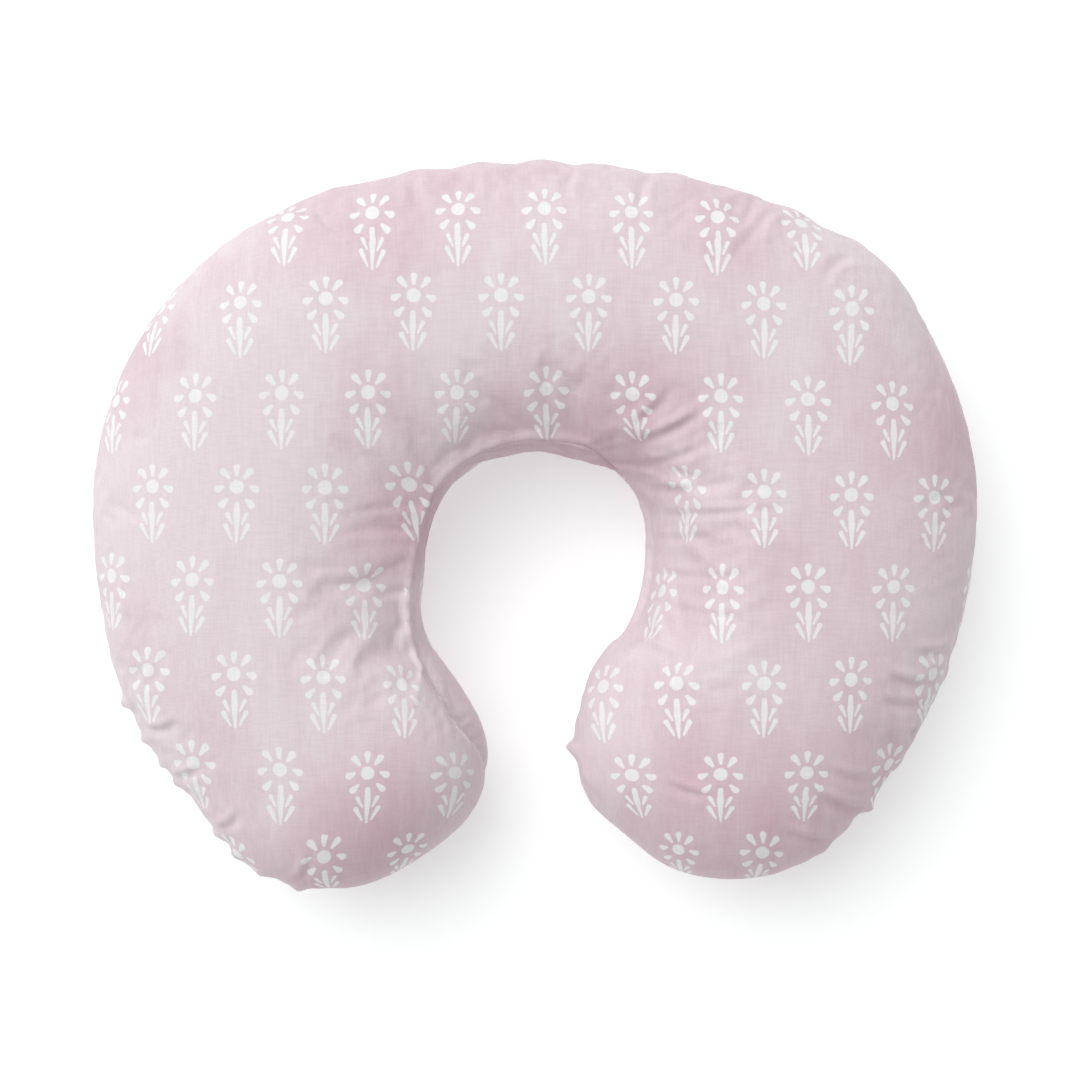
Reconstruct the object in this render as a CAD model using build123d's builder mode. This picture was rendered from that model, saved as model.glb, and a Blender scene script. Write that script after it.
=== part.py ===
"""Nursing pillow: a stuffed C-shaped insert inside a zipped, removable slipcover.

Units are millimetres. +Z is up, the pillow lies on the XY plane with its opening facing -Y,
and the origin is the middle of its bounding box at the surface it rests on.
Every soft layer is the same rounded C drawn in by its own inset, so the layers stay parallel.
"""

import math
import os

from build123d import *

os.makedirs("parts", exist_ok=True)

# ---- Overall size ----
overall_width = 520.0
overall_depth = 430.0
overall_height = 130.0

# ---- Plan outline: tangent arcs ----
crown_radius = 420.0  # outer edge across the back
widest_y = 16.0  # where the outer edge is widest
opening_radius = 65.0  # the waist opening
opening_y = -22.0
tip_radius = 87.0  # the round end of each arm

# ---- Section: round edges above and below the widest level ----
upper_round = 69.8
lower_round = 59.8

# ---- Layers, as insets from the outside of the slipcover: (outer face, inner face) ----
cover_layer = (0.0, 0.6)
cover_allowance_layer = (0.8, 1.6)
care_label_layer = (1.8, 2.1)
insert_label_layer = (2.6, 2.9)
insert_layer = (3.0, 3.6)
insert_allowance_layer = (3.8, 4.6)
fill_inset = 4.9

# ---- Slipcover seam: high round the opening, low round the outside ----
seam_inner_z = 96.0
seam_outer_z = 36.0
seam_ramp = (80.0, 200.0)  # distances from the opening's axis where it starts and ends
allowance_height = 8.0

# ---- Zipper, in the seam across the back ----
zipper_length = 240.0
slot_half_height = 5.6
slot_cut_reach = 2.0  # how far past the outside the slot is cut
tape_layer = (0.7, 1.3)
tape_half_height = 13.0
centre_gap = 0.7  # from the centre line to each half of the chain
tooth_face = (1.5, 2.7)  # along, up
tooth_corner = 0.5
tooth_foot = -0.6  # height above the slipcover's outside
tooth_depth = 1.7
tooth_pitch = 2.5
stop_length = 3.0
stitch_radius = 0.25
stitch_length = 2.4
stitch_pitch = 3.4
stitch_rise = 7.8
bartack_width = 1.6
bartack_half_height = 6.5
bartack_thickness = 0.5
skin_gap = 0.02  # between a stitch and the fabric that it lies on
tape_clearance = 3.0  # kept free of the seam allowance round the tapes

# ---- Zipper slider and pull: heights are above the slipcover's outside ----
slider_length = 12.0
slider_nose_width = 10.0
slider_tail_width = 9.0
slider_corner = 1.2
slider_stop_gap = 0.4
outer_plate = (1.4, 2.2)
inner_plate = (-2.4, -1.75)
inner_plate_margin = 0.4
flange_foot = -0.45
flange_thickness = 0.8
post_size = (3.0, 0.9)
bridge_length = 8.0
bridge_width = 1.8
bridge_top = 4.5
bridge_thickness = 0.8
pull_pivot = 3.0
pull_bar_radius = 0.5
pull_thickness = 0.9
pull_length = 24.0
pull_width = 6.0
pull_window = (6.0, 2.4)
pull_hole_radius = 1.2

# ---- Labels and the insert's hand-closed gap ----
label_width = 30.0
label_height = 42.0
closing_stitch_count = 32
closing_stitch_pitch = 4.5
closing_stitch_height = 5.0
closing_stitch_inset = 2.6
closing_stitch_radius = 0.25


# ================= Plan outline =================


def inner_tangent_radius(extreme_x, extreme_y, neighbour, neighbour_radius):
    """Radius of the arc through an extreme point, centred level with it, that touches a neighbour arc.

    The neighbour may be larger or smaller: the two circles touch from the inside.
    """
    run = extreme_x - neighbour.X
    rise = extreme_y - neighbour.Y
    return (run**2 + rise**2 - neighbour_radius**2) / (2 * (run - neighbour_radius))


half_width = overall_width / 2
half_depth = overall_depth / 2

opening_centre = Vector(0, opening_y)
tip_y = tip_radius - half_depth
tip_x = math.sqrt((tip_radius + opening_radius) ** 2 - (opening_y - tip_y) ** 2)
tip_centre = Vector(tip_x, tip_y)
crown_centre = Vector(0, half_depth - crown_radius)
flank_radius = inner_tangent_radius(half_width, widest_y, tip_centre, tip_radius)
flank_centre = Vector(half_width - flank_radius, widest_y)
shoulder_radius = inner_tangent_radius(half_width, widest_y, crown_centre, crown_radius)
shoulder_centre = Vector(half_width - shoulder_radius, widest_y)


def along(centre, towards, distance):
    """The point at a distance from a centre, on the line towards another point."""
    return centre + (towards - centre).normalized() * distance


def mirrored(point):
    return Vector(-point.X, point.Y)


def outline(inset):
    """The C-shaped plan outline, drawn in by an inset, as a face on the XY plane."""
    crown_end = along(crown_centre, shoulder_centre, crown_radius - inset)
    widest = Vector(half_width - inset, widest_y)
    flank_end = along(flank_centre, tip_centre, flank_radius - inset)
    tip_end = along(tip_centre, opening_centre, tip_radius - inset)
    with BuildSketch() as plan:
        with BuildLine():
            crown_top = crown_centre + Vector(0, crown_radius - inset)
            ThreePointArc(mirrored(crown_end), crown_top, crown_end)
            opening_top = opening_centre + Vector(0, opening_radius + inset)
            ThreePointArc(mirrored(tip_end), opening_top, tip_end)
            shoulder_middle = (crown_end + widest) / 2
            flank_middle = (widest + flank_end) / 2
            tip_bottom = tip_centre - Vector(0, tip_radius - inset)
            stretches = [
                (crown_end, along(shoulder_centre, shoulder_middle, shoulder_radius - inset), widest),
                (widest, along(flank_centre, flank_middle, flank_radius - inset), flank_end),
                (flank_end, tip_bottom, tip_end),
            ]
            for start, middle, end in stretches:
                ThreePointArc(start, middle, end)
                ThreePointArc(mirrored(start), mirrored(middle), mirrored(end))
        make_face()
    return plan.sketch


def rounded_body(inset):
    """The whole pillow, drawn in by an inset on every side."""
    with BuildPart(mode=Mode.PRIVATE) as body:
        with BuildSketch(Plane.XY.offset(inset)):
            add(outline(inset))
        extrude(amount=overall_height - 2 * inset)
        fillet(body.faces().sort_by(Axis.Z)[-1].edges(), upper_round - inset)
        fillet(body.faces().sort_by(Axis.Z)[0].edges(), lower_round - inset)
    return body.part


def rounded_shell(layer):
    """The closed skin between two insets."""
    outer_inset, inner_inset = layer
    with BuildPart(mode=Mode.PRIVATE) as shell:
        add(rounded_body(outer_inset))
        add(rounded_body(inner_inset), mode=Mode.SUBTRACT)
    return shell.part


def below_seam(shift=0.0):
    """All the space under the slipcover's seam, moved up or down by a shift."""
    reach = overall_width
    floor = -overall_height
    ramp_start, ramp_end = seam_ramp
    with BuildPart(mode=Mode.PRIVATE) as space:
        with BuildSketch(Plane(origin=opening_centre, x_dir=(1, 0, 0), z_dir=(0, -1, 0))):
            with BuildLine():
                Polyline(
                    (0, floor),
                    (reach, floor),
                    (reach, seam_outer_z + shift),
                    (ramp_end, seam_outer_z + shift),
                    (ramp_start, seam_inner_z + shift),
                    (0, seam_inner_z + shift),
                    close=True,
                )
            make_face()
        revolve(axis=Axis(opening_centre, (0, 0, 1)))
    return space.part


# ================= Places on the rounded side =================

level_z = lower_round  # where the side stands upright
seam_tilt = math.degrees(math.asin((level_z - seam_outer_z) / lower_round))
crown_scale = math.degrees(1 / crown_radius)  # degrees round the back for each millimetre
zipper_half_angle = zipper_length / 2 * crown_scale
back = 90.0  # the direction of +Y
left = 180.0  # the direction of -X


def side_plane(angle, rise=0.0, lift=0.0):
    """A plane on the back's side: x along the zipper, y up the fabric, z straight out of it.

    angle is the direction in plan from the crown's centre, rise is measured up the fabric from the
    zipper's centre line, and lift is the height above the slipcover's outside.
    """
    direction = Vector(math.cos(math.radians(angle)), math.sin(math.radians(angle)))
    across = Vector(-direction.Y, direction.X)
    lean = math.radians(-seam_tilt) + rise / lower_round
    outward = direction * math.cos(lean) + Vector(0, 0, math.sin(lean))
    ring = crown_centre + direction * (crown_radius - lower_round) + Vector(0, 0, level_z)
    return Plane(origin=ring + outward * (lower_round + lift), x_dir=across, z_dir=outward)


def side_band(centre, radius, layer, rise, start, sweep):
    """A strip of the rounded side, below or across its widest level.

    centre and radius are those of the outline's arc there, layer is a pair of insets, rise is a pair
    of distances up the fabric from the slipcover's outer seam, and start and sweep are in degrees.
    """
    outer_inset, inner_inset = layer
    low, high = (math.degrees(r / lower_round) - seam_tilt for r in rise)
    direction = (math.cos(math.radians(start)), math.sin(math.radians(start)), 0)
    section = Plane(origin=centre, x_dir=direction, z_dir=(direction[1], -direction[0], 0))
    ring = (radius - lower_round, level_z)
    with BuildPart(mode=Mode.PRIVATE) as band:
        with BuildSketch(section):
            with BuildLine():
                outer = CenterArc(ring, lower_round - outer_inset, low, high - low)
                inner = CenterArc(ring, lower_round - inner_inset, low, high - low)
                Line(outer @ 0, inner @ 0)
                Line(outer @ 1, inner @ 1)
            make_face()
        revolve(axis=Axis(centre, (0, 0, 1)), revolution_arc=sweep)
    return band.part


def back_band(layer, rise, half_angle):
    """A strip across the middle of the back."""
    return side_band(crown_centre, crown_radius, layer, rise, back - half_angle, 2 * half_angle)


def spread(half_angle, pitch):
    """Evenly spaced directions across the back, pitch millimetres apart."""
    count = int(2 * half_angle / (pitch * crown_scale))
    step = pitch * crown_scale
    first = back - step * (count - 1) / 2
    return [first + step * i for i in range(count)]


# ================= Slipcover =================

slot_layer = (-slot_cut_reach, (cover_layer[1] + cover_allowance_layer[0]) / 2)
zipper_slot = back_band(slot_layer, (-slot_half_height, slot_half_height), zipper_half_angle)

with BuildPart() as cover_top_panel:
    add(rounded_shell(cover_layer))
    add(below_seam(), mode=Mode.SUBTRACT)
    add(zipper_slot, mode=Mode.SUBTRACT)

cover_top_panel.part.label = "cover_top_panel"
export_step(cover_top_panel.part, "parts/cover_top_panel.step")

with BuildPart() as cover_bottom_panel:
    add(rounded_shell(cover_layer))
    add(below_seam(), mode=Mode.INTERSECT)
    add(zipper_slot, mode=Mode.SUBTRACT)

cover_bottom_panel.part.label = "cover_bottom_panel"
export_step(cover_bottom_panel.part, "parts/cover_bottom_panel.step")

room_rise = tape_half_height + tape_clearance
room_half_angle = zipper_half_angle + tape_clearance * crown_scale
tape_room = back_band((cover_layer[1], insert_layer[0]), (-room_rise, room_rise), room_half_angle)

with BuildPart() as cover_seam_allowance:
    add(rounded_shell(cover_allowance_layer))
    add(below_seam(allowance_height / 2), mode=Mode.INTERSECT)
    add(below_seam(-allowance_height / 2), mode=Mode.SUBTRACT)
    add(tape_room, mode=Mode.SUBTRACT)

cover_seam_allowance.part.label = "cover_seam_allowance"
export_step(cover_seam_allowance.part, "parts/cover_seam_allowance.step")

label_sweep = math.degrees(label_width / flank_radius)

with BuildPart() as care_label:
    label_rise = (-label_height / 2, label_height / 2)
    add(side_band(flank_centre, flank_radius, care_label_layer, label_rise, -label_sweep, label_sweep))

care_label.part.label = "care_label"
export_step(care_label.part, "parts/care_label.step")

# ================= Zipper =================

with BuildPart() as zipper_tape_upper:
    add(back_band(tape_layer, (centre_gap, tape_half_height), zipper_half_angle))

zipper_tape_upper.part.label = "zipper_tape_upper"
export_step(zipper_tape_upper.part, "parts/zipper_tape_upper.step")

with BuildPart() as zipper_tape_lower:
    add(back_band(tape_layer, (-tape_half_height, -centre_gap), zipper_half_angle))

zipper_tape_lower.part.label = "zipper_tape_lower"
export_step(zipper_tape_lower.part, "parts/zipper_tape_lower.step")

tooth_rise = centre_gap + tooth_face[1] / 2
chain_half_angle = zipper_half_angle - 2 * stop_length * crown_scale
quarter_pitch_angle = tooth_pitch / 4 * crown_scale


def tooth_planes(side):
    """The feet of one row of teeth: side is 1 above the centre line and -1 below it.

    The two rows are half a pitch out of step, as meshed teeth are.
    """
    angles = spread(chain_half_angle, tooth_pitch)
    return [side_plane(a + side * quarter_pitch_angle, side * tooth_rise, tooth_foot) for a in angles]


with BuildPart() as zipper_teeth_upper:
    with BuildSketch(*tooth_planes(1)):
        RectangleRounded(*tooth_face, tooth_corner)
    extrude(amount=tooth_depth)

zipper_teeth_upper.part.label = "zipper_teeth_upper"
export_step(zipper_teeth_upper.part, "parts/zipper_teeth_upper.step")

with BuildPart() as zipper_teeth_lower:
    with BuildSketch(*tooth_planes(-1)):
        RectangleRounded(*tooth_face, tooth_corner)
    extrude(amount=tooth_depth)

zipper_teeth_lower.part.label = "zipper_teeth_lower"
export_step(zipper_teeth_lower.part, "parts/zipper_teeth_lower.step")

stop_angle = chain_half_angle + stop_length * crown_scale
closed_stop = back - stop_angle
open_stop = back + stop_angle

with BuildPart() as zipper_top_stops:
    with BuildSketch(*[side_plane(closed_stop, side * tooth_rise, tooth_foot) for side in (-1, 1)]):
        RectangleRounded(stop_length, tooth_face[1], tooth_corner)
    extrude(amount=tooth_depth)

zipper_top_stops.part.label = "zipper_top_stops"
export_step(zipper_top_stops.part, "parts/zipper_top_stops.step")

with BuildPart() as zipper_bottom_stop:
    with BuildSketch(side_plane(open_stop, 0, tooth_foot)):
        RectangleRounded(stop_length, 2 * (centre_gap + tooth_face[1]), tooth_corner)
    extrude(amount=tooth_depth)

zipper_bottom_stop.part.label = "zipper_bottom_stop"
export_step(zipper_bottom_stop.part, "parts/zipper_bottom_stop.step")

with BuildPart() as zipper_topstitching:
    for side in (-1, 1):
        for angle in spread(zipper_half_angle, stitch_pitch):
            with Locations(side_plane(angle, side * stitch_rise, stitch_radius + skin_gap).location):
                Cylinder(stitch_radius, stitch_length, rotation=(0, 90, 0))

zipper_topstitching.part.label = "zipper_topstitching"
export_step(zipper_topstitching.part, "parts/zipper_topstitching.step")

bartack_sweep = bartack_width * crown_scale
bartack_layer = (-skin_gap - bartack_thickness, -skin_gap)
bartack_rise = (-bartack_half_height, bartack_half_height)

with BuildPart() as zipper_bartacks:
    for start in (back - zipper_half_angle - 2 * bartack_sweep, back + zipper_half_angle + bartack_sweep):
        add(side_band(crown_centre, crown_radius, bartack_layer, bartack_rise, start, bartack_sweep))

zipper_bartacks.part.label = "zipper_bartacks"
export_step(zipper_bartacks.part, "parts/zipper_bartacks.step")

# ================= Slider and pull =================

slider_rest = closed_stop + (stop_length / 2 + slider_stop_gap + slider_length / 2) * crown_scale


def slider_level(lift):
    """The slider's own plane at rest, at a height above the slipcover's outside."""
    return side_plane(slider_rest, 0, lift)


def taper(half_nose, half_tail, half_length):
    """A face that narrows from the slider's nose, at -X, to its tail."""
    with BuildSketch() as face:
        with BuildLine():
            Polyline(
                (-half_length, -half_nose),
                (half_length, -half_tail),
                (half_length, half_tail),
                (-half_length, half_nose),
                close=True,
            )
        make_face()
    return face.sketch


half_nose = slider_nose_width / 2
half_tail = slider_tail_width / 2
half_slider = slider_length / 2
bridge_underside = bridge_top - bridge_thickness

with BuildPart() as zipper_slider_body:
    with BuildSketch(slider_level(outer_plate[0])) as cap:
        add(taper(half_nose, half_tail, half_slider))
        fillet(cap.vertices(), slider_corner)
    extrude(amount=outer_plate[1] - outer_plate[0])
    with BuildSketch(slider_level(flange_foot)) as flanges:
        add(taper(half_nose, half_tail, half_slider))
        fillet(flanges.vertices(), slider_corner)
        channel = taper(half_nose - flange_thickness, half_tail - flange_thickness, half_slider)
        add(channel, mode=Mode.SUBTRACT)
    extrude(amount=outer_plate[0] - flange_foot)
    with BuildSketch(slider_level(inner_plate[0])) as back_plate:
        add(taper(half_nose - inner_plate_margin, half_tail - inner_plate_margin, half_slider))
        fillet(back_plate.vertices(), slider_corner)
    extrude(amount=inner_plate[1] - inner_plate[0])
    with BuildSketch(slider_level(inner_plate[1])):
        with Locations((post_size[0] - half_slider, 0)):
            Rectangle(*post_size)
    extrude(amount=outer_plate[0] - inner_plate[1])
    with BuildSketch(slider_level(outer_plate[1])):
        Rectangle(bridge_length, bridge_width)
    extrude(amount=bridge_top - outer_plate[1])
    with BuildSketch(slider_level(outer_plate[1])):
        Rectangle(bridge_length - 2 * bridge_thickness, 2 * bridge_width)
    extrude(amount=bridge_underside - outer_plate[1], mode=Mode.SUBTRACT)

zipper_slider_body.part.label = "zipper_slider_body"
export_step(zipper_slider_body.part, "parts/zipper_slider_body.step")

axle = slider_level(pull_pivot)

with BuildPart() as zipper_pull_tab:
    with BuildSketch(slider_level(pull_pivot - pull_thickness / 2)) as tab:
        with Locations((pull_length / 2, 0)):
            Rectangle(pull_length, pull_width)
        fillet(tab.vertices().sort_by(Axis(axle.origin, axle.x_dir))[-2:], pull_width / 3)
        with Locations((pull_window[0] / 2, 0)):
            Rectangle(*pull_window, mode=Mode.SUBTRACT)
        with Locations((pull_length - pull_width / 2, 0)):
            Circle(pull_hole_radius, mode=Mode.SUBTRACT)
    extrude(amount=pull_thickness)
    with Locations(axle.location):
        Cylinder(pull_bar_radius, pull_width, rotation=(90, 0, 0))

zipper_pull_tab.part.label = "zipper_pull_tab"
export_step(zipper_pull_tab.part, "parts/zipper_pull_tab.step")

# ================= Insert =================

with BuildPart() as insert_top_casing:
    add(rounded_shell(insert_layer))
    split(bisect_by=Plane.XY.offset(level_z), keep=Keep.TOP)

insert_top_casing.part.label = "insert_top_casing"
export_step(insert_top_casing.part, "parts/insert_top_casing.step")

with BuildPart() as insert_bottom_casing:
    add(rounded_shell(insert_layer))
    split(bisect_by=Plane.XY.offset(level_z), keep=Keep.BOTTOM)

insert_bottom_casing.part.label = "insert_bottom_casing"
export_step(insert_bottom_casing.part, "parts/insert_bottom_casing.step")

with BuildPart() as insert_seam_allowance:
    add(rounded_shell(insert_allowance_layer))
    split(bisect_by=Plane.XY.offset(level_z + allowance_height / 2), keep=Keep.BOTTOM)
    split(bisect_by=Plane.XY.offset(level_z - allowance_height / 2), keep=Keep.TOP)

insert_seam_allowance.part.label = "insert_seam_allowance"
export_step(insert_seam_allowance.part, "parts/insert_seam_allowance.step")

closing_ring = flank_radius - closing_stitch_inset
closing_sweep = math.degrees(closing_stitch_count * closing_stitch_pitch / closing_ring)

with BuildPart() as insert_closing_stitches:
    with Locations(flank_centre + Vector(0, 0, level_z)):
        with PolarLocations(closing_ring, closing_stitch_count, -closing_sweep, closing_sweep):
            Cylinder(closing_stitch_radius, closing_stitch_height)

insert_closing_stitches.part.label = "insert_closing_stitches"
export_step(insert_closing_stitches.part, "parts/insert_closing_stitches.step")

insert_seam_rise = math.radians(seam_tilt) * lower_round

with BuildPart() as insert_label:
    label_rise = (insert_seam_rise - label_height, insert_seam_rise)
    left_centre = mirrored(flank_centre)
    add(side_band(left_centre, flank_radius, insert_label_layer, label_rise, left, label_sweep))

insert_label.part.label = "insert_label"
export_step(insert_label.part, "parts/insert_label.step")

with BuildPart() as fiber_fill:
    add(rounded_body(fill_inset))

fiber_fill.part.label = "fiber_fill"
export_step(fiber_fill.part, "parts/fiber_fill.step")

# ================= Joint places =================

print("zipper slider turns about", crown_centre, "by", round(2 * (back - slider_rest), 3), "degrees")
print("pull tab turns about", axle.origin, "along", axle.y_dir)
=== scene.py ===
"""Nursing pillow: a printed slipcover, simulated as cloth, over a fibre-filled insert, with a back zipper.

Everything is in metres in the row's frame: +Z is up, the opening faces -Y, the zipper is across the +Y side.
"""
import math

import bmesh
import bpy
import numpy as np
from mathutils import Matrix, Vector, geometry, kdtree, noise


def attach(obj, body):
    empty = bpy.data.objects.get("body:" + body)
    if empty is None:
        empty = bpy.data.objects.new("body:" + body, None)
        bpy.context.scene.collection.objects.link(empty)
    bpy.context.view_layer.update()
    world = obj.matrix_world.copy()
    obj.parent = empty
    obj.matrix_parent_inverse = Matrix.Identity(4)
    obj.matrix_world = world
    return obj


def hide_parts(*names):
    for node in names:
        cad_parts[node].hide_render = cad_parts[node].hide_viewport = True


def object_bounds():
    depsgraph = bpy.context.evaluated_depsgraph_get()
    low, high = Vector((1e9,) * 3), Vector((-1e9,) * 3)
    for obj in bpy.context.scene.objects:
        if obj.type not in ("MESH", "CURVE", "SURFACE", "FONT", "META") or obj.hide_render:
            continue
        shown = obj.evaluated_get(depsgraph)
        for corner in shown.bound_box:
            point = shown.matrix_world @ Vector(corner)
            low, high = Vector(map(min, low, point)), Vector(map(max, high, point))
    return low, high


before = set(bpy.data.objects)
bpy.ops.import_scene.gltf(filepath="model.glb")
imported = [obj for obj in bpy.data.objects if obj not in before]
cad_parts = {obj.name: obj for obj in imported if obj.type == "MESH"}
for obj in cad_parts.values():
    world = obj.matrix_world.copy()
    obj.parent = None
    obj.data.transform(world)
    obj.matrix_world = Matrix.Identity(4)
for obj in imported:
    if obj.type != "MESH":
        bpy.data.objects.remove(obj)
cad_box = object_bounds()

MM = 0.001

# ---- Plan outline: the same tangent arcs as the CAD slipcover ----
HALF_WIDTH = cad_box[1][0]
HALF_DEPTH = cad_box[1][1]
HEIGHT = cad_box[1][2]
CROWN_RADIUS = 0.420
WIDEST_Y = 0.016
OPENING = np.array([0.0, -0.022])
OPENING_RADIUS = 0.065
TIP_RADIUS = 0.087

# ---- Section ----
LEVEL = 0.0598  # height of the widest level, and radius of the round edge under it
CROWN_REACH = 0.092  # how far in from the edge the top goes on rising
CROWN_POWER = 2.35  # 2 is an ellipse, more is squarer

# ---- Slipcover seam and zipper ----
SEAM_OUTER_Z = 0.036
SEAM_INNER_Z = 0.096
SEAM_RIGHT_Z = 0.052  # the seam sinks out of sight towards the right arm
SEAM_RAMP = (0.085, 0.150)  # how far from the opening's centre it drops to the outer height
ZIPPER_HALF_LENGTH = 0.120
SLOT_HALF_HEIGHT = 0.0056

# ---- Mesh ----
SPACING = 0.0037
TOP_CAP_INSET = 0.036
LOW_CAP_INSET = 0.030
SEAM_ROW = 1.6 * MM  # a row of points runs this far to either side of the seam


# ================= Outline and section =================


def bearing(a, b):
    """The direction from point a to point b, in radians."""
    return math.atan2(b[1] - a[1], b[0] - a[0])


def neighbour_radius(centre, radius):
    """Radius of the arc through the widest point, level with it, that touches a neighbouring arc."""
    run, rise = HALF_WIDTH - centre[0], WIDEST_Y - centre[1]
    return (run**2 + rise**2 - radius**2) / (2 * (run - radius))


def right_half():
    """The arcs from the opening's inner middle, round the right arm, to the middle of the back.

    Each is (centre, radius, start angle, end angle, side that the fabric's outside is on).
    """
    tip_y = TIP_RADIUS - HALF_DEPTH
    tip_x = math.sqrt((TIP_RADIUS + OPENING_RADIUS) ** 2 - (OPENING[1] - tip_y) ** 2)
    tip = np.array([tip_x, tip_y])
    crown = np.array([0.0, HALF_DEPTH - CROWN_RADIUS])
    flank_radius = neighbour_radius(tip, TIP_RADIUS)
    flank = np.array([HALF_WIDTH - flank_radius, WIDEST_Y])
    shoulder_radius = neighbour_radius(crown, CROWN_RADIUS)
    shoulder = np.array([HALF_WIDTH - shoulder_radius, WIDEST_Y])
    tip_start = bearing(tip, OPENING)
    tip_end = bearing(flank, tip) + 2 * math.pi
    crown_start = bearing(crown, shoulder)
    return [
        (OPENING, OPENING_RADIUS, math.pi / 2, bearing(OPENING, tip), -1),
        (tip, TIP_RADIUS, tip_start, tip_end, 1),
        (flank, flank_radius, tip_end - 2 * math.pi, 0.0, 1),
        (shoulder, shoulder_radius, 0.0, crown_start, 1),
        (crown, CROWN_RADIUS, crown_start, math.pi / 2, 1),
    ]


ARCS = right_half()
ARC_LENGTHS = np.array([abs(end - start) * radius for _, radius, start, end, _ in ARCS])
ARC_STARTS = np.concatenate([[0.0], np.cumsum(ARC_LENGTHS)])
HALF_LENGTH = ARC_STARTS[-1]
LOOP_LENGTH = 2 * HALF_LENGTH


def outline_at(length):
    """Points of the outline and their outward normals, at distances along it from the opening's middle."""
    length = np.asarray(length, float) % LOOP_LENGTH
    on_left = length > HALF_LENGTH
    length = np.where(on_left, LOOP_LENGTH - length, length)
    point = np.zeros((len(length), 2))
    normal = np.zeros((len(length), 2))
    for i, (centre, radius, start, end, out) in enumerate(ARCS):
        here = (length >= ARC_STARTS[i]) & (length <= ARC_STARTS[i + 1] + 1e-9)
        angle = start + math.copysign(1, end - start) * (length[here] - ARC_STARTS[i]) / radius
        direction = np.stack([np.cos(angle), np.sin(angle)], 1)
        point[here] = centre + direction * radius
        normal[here] = direction * out
    point[on_left, 0] *= -1
    normal[on_left, 0] *= -1
    return point, normal


def section_table(steps=500):
    """The section from the top, round the edge, to the flat underside: fabric length, inset and height."""
    upper = np.linspace(math.pi / 2, 0, steps)
    lower = np.linspace(0, math.pi / 2, steps)[1:]
    power = 2 / CROWN_POWER
    inset = np.concatenate([
        CROWN_REACH * (1 - np.cos(upper) ** power),
        LEVEL * (1 - np.cos(lower)),
    ])
    height = np.concatenate([
        LEVEL + (HEIGHT - LEVEL) * np.sin(upper) ** power,
        LEVEL * (1 - np.sin(lower)),
    ])
    length = np.concatenate([[0.0], np.cumsum(np.hypot(np.diff(inset), np.diff(height)))])
    return length, inset, height


SECTION, SECTION_INSET, SECTION_HEIGHT = section_table()
EDGE = int(np.argmin(SECTION_INSET))  # the widest level in the table


def section_at(length):
    """Inset and height at fabric lengths down the section."""
    return np.interp(length, SECTION, SECTION_INSET), np.interp(length, SECTION, SECTION_HEIGHT)


def length_at_height(height):
    return np.interp(-np.asarray(height), -SECTION_HEIGHT, SECTION)


def length_at_inset(inset, upper=True):
    """Fabric length down the section, at an inset above or below the widest level."""
    if upper:
        return np.interp(-np.asarray(inset), -SECTION_INSET[: EDGE + 1], SECTION[: EDGE + 1])
    return np.interp(inset, SECTION_INSET[EDGE:], SECTION[EDGE:])


def smoothstep(low, high, x):
    t = np.clip((np.asarray(x, float) - low) / (high - low), 0, 1)
    return t * t * (3 - 2 * t)


def bell(x):
    """1 at 0, and next to nothing past 2 either way."""
    return np.exp(-(x**2))


def seam_height(point):
    """Height of the slipcover's seam beside points of the outline."""
    reach = np.hypot(point[:, 0] - OPENING[0], point[:, 1] - OPENING[1])
    ramp = np.clip((reach - SEAM_RAMP[0]) / (SEAM_RAMP[1] - SEAM_RAMP[0]), 0, 1)
    x, y = point[:, 0], point[:, 1]
    sunk = smoothstep(0.022, 0.060, x - 0.5 * np.minimum(y, 0)) * smoothstep(-0.005, 0.010, x)
    inner = SEAM_INNER_Z + (SEAM_RIGHT_Z - SEAM_INNER_Z) * sunk
    return inner + (SEAM_OUTER_Z - inner) * ramp


def seam_at(length):
    """Fabric length down the section where the seam lies, at distances along the outline."""
    return length_at_height(seam_height(outline_at(length)[0]))


def wall_points(along, down):
    """Places on the unwarped pillow: along the outline, down the section."""
    point, normal = outline_at(along)
    inset, height = section_at(down)
    plan = point - normal * inset[:, None]
    return np.column_stack([plan, height])


# ================= Closed cloth mesh =================


def hexagonal(low, high, spacing):
    """Points of a triangular lattice in a rectangle."""
    rise = spacing * math.sqrt(3) / 2
    rows = np.arange(low[1], high[1], rise)
    points = []
    for i, y in enumerate(rows):
        xs = np.arange(low[0] + (i % 2) * spacing / 2, high[0], spacing)
        points.append(np.column_stack([xs, np.full(len(xs), y)]))
    return np.concatenate(points)


def triangulate(points, border, lines=()):
    """Triangles over points, inside the border, a list of point numbers. lines are edges that are kept."""
    places = [Vector(p) for p in points.tolist()]
    result = geometry.delaunay_2d_cdt(places, list(lines), [list(border)], 1, 1e-9)
    kept = [origin[0] for origin in result[3]]
    return [[kept[i] for i in face] for face in result[2]]


def nearest_on_outline(plan):
    """Distance along the outline and inset of the nearest outline point, for points in plan."""
    along = np.arange(0, LOOP_LENGTH, 0.5 * MM)
    outline = outline_at(along)[0]
    best = np.zeros(len(plan), int)
    inset = np.zeros(len(plan))
    for i in range(0, len(plan), 500):
        block = plan[i:i + 500]
        away = block[:, None] - outline[None]
        apart = np.hypot(away[..., 0], away[..., 1])
        best[i:i + 500] = apart.argmin(1)
        inset[i:i + 500] = apart.min(1)
    return along[best], inset


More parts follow.
